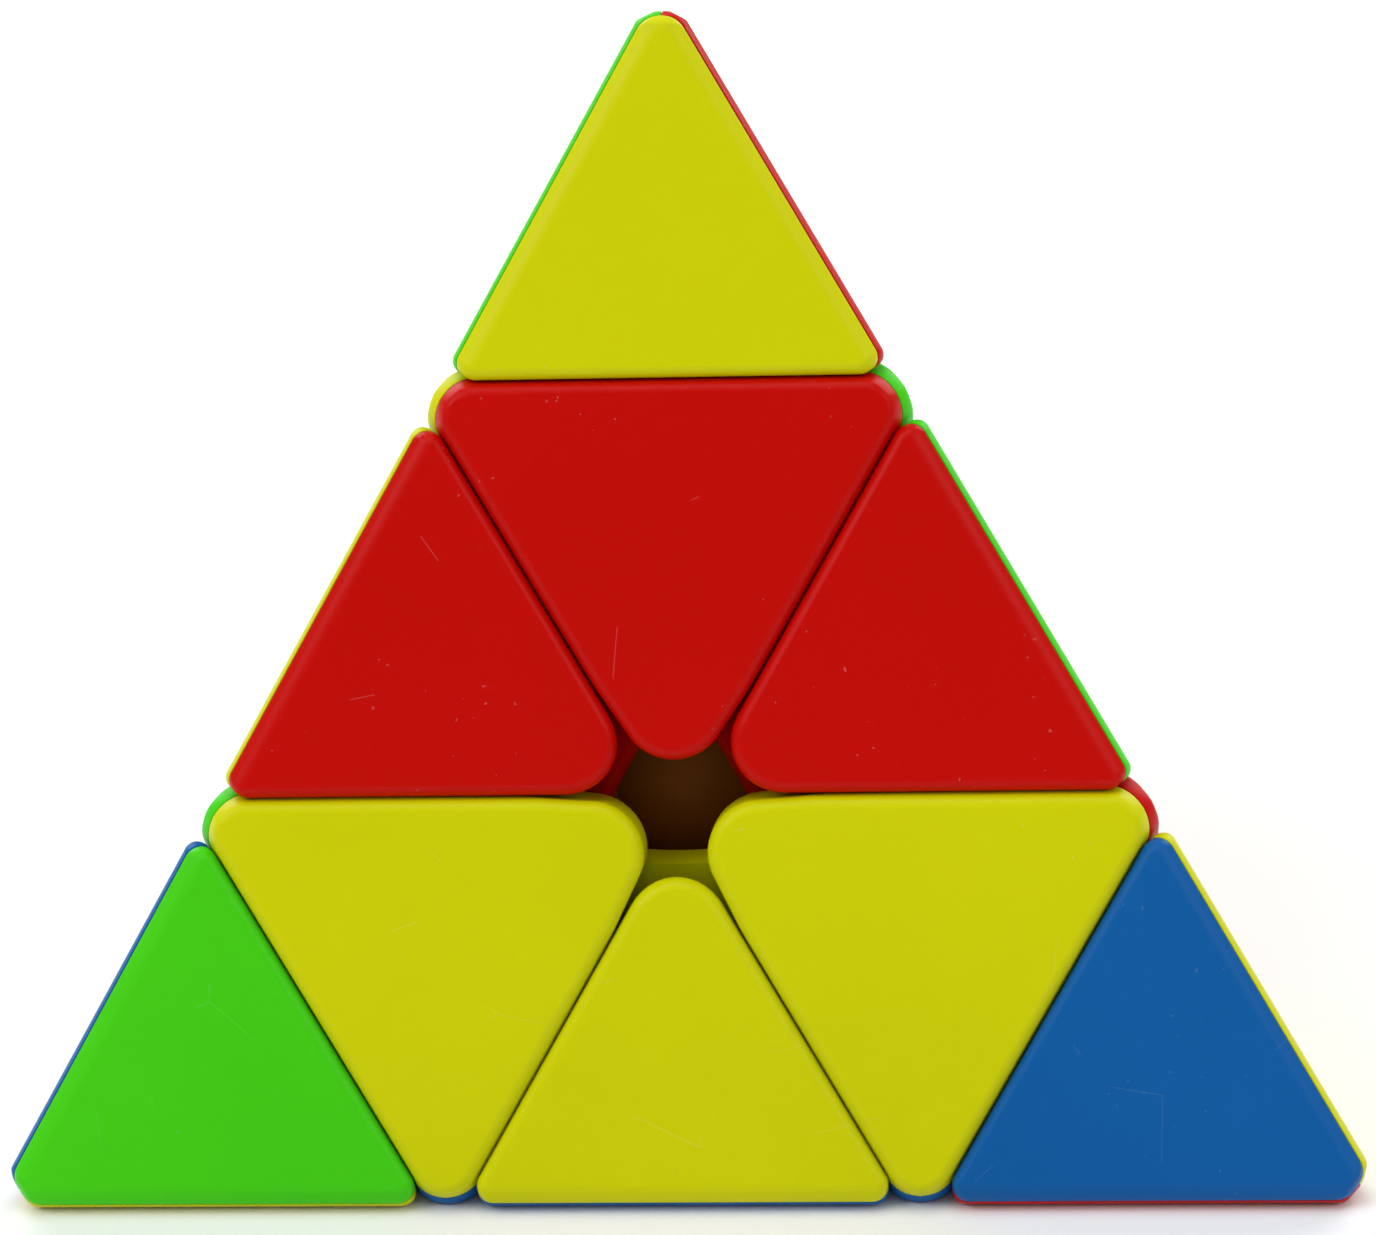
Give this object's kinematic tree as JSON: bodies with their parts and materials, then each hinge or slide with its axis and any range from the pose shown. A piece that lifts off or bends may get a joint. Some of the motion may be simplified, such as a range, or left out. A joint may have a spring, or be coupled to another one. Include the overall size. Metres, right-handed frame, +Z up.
{
  "type": "pyramid twisty puzzle",
  "caption": "Stickerless pyramid puzzle: corner layers and loose tips turn on a four-armed core, with edge pieces held in by sliding feet.",
  "frame": {"origin": "middle of the core, where the four turning axes cross", "axes": "+Z up through the top corner, +X to the right along the front bottom edge, front face towards -Y"},
  "size_m": [0.1006, 0.0874, 0.0822],
  "materials": {
    "yellow_plastic": "smooth moulded plastic, semi-gloss",
    "red_plastic": "smooth moulded plastic, semi-gloss",
    "green_plastic": "smooth moulded plastic, semi-gloss",
    "blue_plastic": "smooth moulded plastic, semi-gloss",
    "dark_plastic": "satin moulded plastic",
    "steel": "bright plated steel"
  },
  "bodies": {
    "core": {"core": "dark_plastic", "top_screw": "steel", "top_spring": "steel", "left_screw": "steel", "left_spring": "steel", "right_screw": "steel", "right_spring": "steel", "back_screw": "steel", "back_spring": "steel"},
    "top_axial": {"top_axial_front_shell": "red_plastic", "top_axial_hub": "dark_plastic", "top_axial_left_shell": "yellow_plastic", "top_axial_right_shell": "green_plastic"},
    "top_tip": {"top_tip_front_shell": "yellow_plastic", "top_tip_hub": "dark_plastic", "top_tip_left_shell": "green_plastic", "top_tip_right_shell": "red_plastic"},
    "left_axial": {"left_axial_bottom_shell": "blue_plastic", "left_axial_front_shell": "yellow_plastic", "left_axial_hub": "dark_plastic", "left_axial_left_shell": "green_plastic"},
    "left_tip": {"left_tip_bottom_shell": "yellow_plastic", "left_tip_front_shell": "green_plastic", "left_tip_hub": "dark_plastic", "left_tip_left_shell": "blue_plastic"},
    "right_axial": {"right_axial_bottom_shell": "blue_plastic", "right_axial_front_shell": "yellow_plastic", "right_axial_hub": "dark_plastic", "right_axial_right_shell": "red_plastic"},
    "right_tip": {"right_tip_bottom_shell": "red_plastic", "right_tip_front_shell": "blue_plastic", "right_tip_hub": "dark_plastic", "right_tip_right_shell": "yellow_plastic"},
    "back_axial": {"back_axial_bottom_shell": "blue_plastic", "back_axial_hub": "dark_plastic", "back_axial_left_shell": "green_plastic", "back_axial_right_shell": "red_plastic"},
    "back_tip": {"back_tip_bottom_shell": "red_plastic", "back_tip_hub": "dark_plastic", "back_tip_left_shell": "blue_plastic", "back_tip_right_shell": "green_plastic"},
    "front_left_edge": {"front_left_edge_foot": "red_plastic", "front_left_edge_front_shell": "red_plastic", "front_left_edge_left_shell": "yellow_plastic"},
    "front_right_edge": {"front_right_edge_foot": "red_plastic", "front_right_edge_front_shell": "red_plastic", "front_right_edge_right_shell": "green_plastic"},
    "rear_edge": {"rear_edge_foot": "yellow_plastic", "rear_edge_left_shell": "yellow_plastic", "rear_edge_right_shell": "green_plastic"},
    "front_bottom_edge": {"front_bottom_edge_bottom_shell": "blue_plastic", "front_bottom_edge_foot": "yellow_plastic", "front_bottom_edge_front_shell": "yellow_plastic"},
    "left_bottom_edge": {"left_bottom_edge_bottom_shell": "blue_plastic", "left_bottom_edge_foot": "green_plastic", "left_bottom_edge_left_shell": "green_plastic"},
    "right_bottom_edge": {"right_bottom_edge_bottom_shell": "blue_plastic", "right_bottom_edge_foot": "red_plastic", "right_bottom_edge_right_shell": "red_plastic"}
  },
  "joints": [
    {"name": "top_layer_turn", "type": "hinge", "parent": "core", "child": "top_axial", "pos_m": [0, 0, 0], "axis": [0, 0, 1], "continuous": true},
    {"name": "left_layer_turn", "type": "hinge", "parent": "core", "child": "left_axial", "pos_m": [0, 0, 0], "axis": [-0.8165, -0.4714, -0.3333], "range_deg": [-360, 360]},
    {"name": "right_layer_turn", "type": "hinge", "parent": "core", "child": "right_axial", "pos_m": [0, 0, 0], "axis": [0.8165, -0.4714, -0.3333], "range_deg": [-360, 360]},
    {"name": "back_layer_turn", "type": "hinge", "parent": "core", "child": "back_axial", "pos_m": [0, 0, 0], "axis": [0, 0.9428, -0.3333], "range_deg": [-360, 360]},
    {"name": "top_tip_turn", "type": "hinge", "parent": "top_axial", "child": "top_tip", "pos_m": [0, 0, 0], "axis": [0, 0, 1], "continuous": true},
    {"name": "left_tip_turn", "type": "hinge", "parent": "left_axial", "child": "left_tip", "pos_m": [0, 0, 0], "axis": [-0.8165, -0.4714, -0.3333], "continuous": true},
    {"name": "right_tip_turn", "type": "hinge", "parent": "right_axial", "child": "right_tip", "pos_m": [0, 0, 0], "axis": [0.8165, -0.4714, -0.3333], "continuous": true},
    {"name": "back_tip_turn", "type": "hinge", "parent": "back_axial", "child": "back_tip", "pos_m": [0, 0, 0], "axis": [0, 0.9428, -0.3333], "continuous": true},
    {"name": "front_left_edge_follow", "type": "hinge", "parent": "top_axial", "child": "front_left_edge", "pos_m": [0, 0, 0], "axis": [-0.8165, -0.4714, -0.3333], "range_deg": [-360, 360]},
    {"name": "front_right_edge_follow", "type": "hinge", "parent": "top_axial", "child": "front_right_edge", "pos_m": [0, 0, 0], "axis": [0.8165, -0.4714, -0.3333], "range_deg": [-360, 360]},
    {"name": "rear_edge_follow", "type": "hinge", "parent": "top_axial", "child": "rear_edge", "pos_m": [0, 0, 0], "axis": [0, 0.9428, -0.3333], "range_deg": [-360, 360]},
    {"name": "front_bottom_edge_follow", "type": "hinge", "parent": "left_axial", "child": "front_bottom_edge", "pos_m": [0, 0, 0], "axis": [0.8165, -0.4714, -0.3333], "range_deg": [-360, 360]},
    {"name": "left_bottom_edge_follow", "type": "hinge", "parent": "left_axial", "child": "left_bottom_edge", "pos_m": [0, 0, 0], "axis": [0, 0.9428, -0.3333], "range_deg": [-360, 360]},
    {"name": "right_bottom_edge_follow", "type": "hinge", "parent": "right_axial", "child": "right_bottom_edge", "pos_m": [0, 0, 0], "axis": [0, 0.9428, -0.3333], "range_deg": [-360, 360]}
  ],
  "couplings": [
    {"joint": "front_left_edge_follow", "follows": "left_layer_turn", "ratio": 1},
    {"joint": "front_right_edge_follow", "follows": "right_layer_turn", "ratio": 1},
    {"joint": "rear_edge_follow", "follows": "back_layer_turn", "ratio": 1},
    {"joint": "front_bottom_edge_follow", "follows": "right_layer_turn", "ratio": 1},
    {"joint": "left_bottom_edge_follow", "follows": "back_layer_turn", "ratio": 1},
    {"joint": "right_bottom_edge_follow", "follows": "back_layer_turn", "ratio": 1}
  ]
}
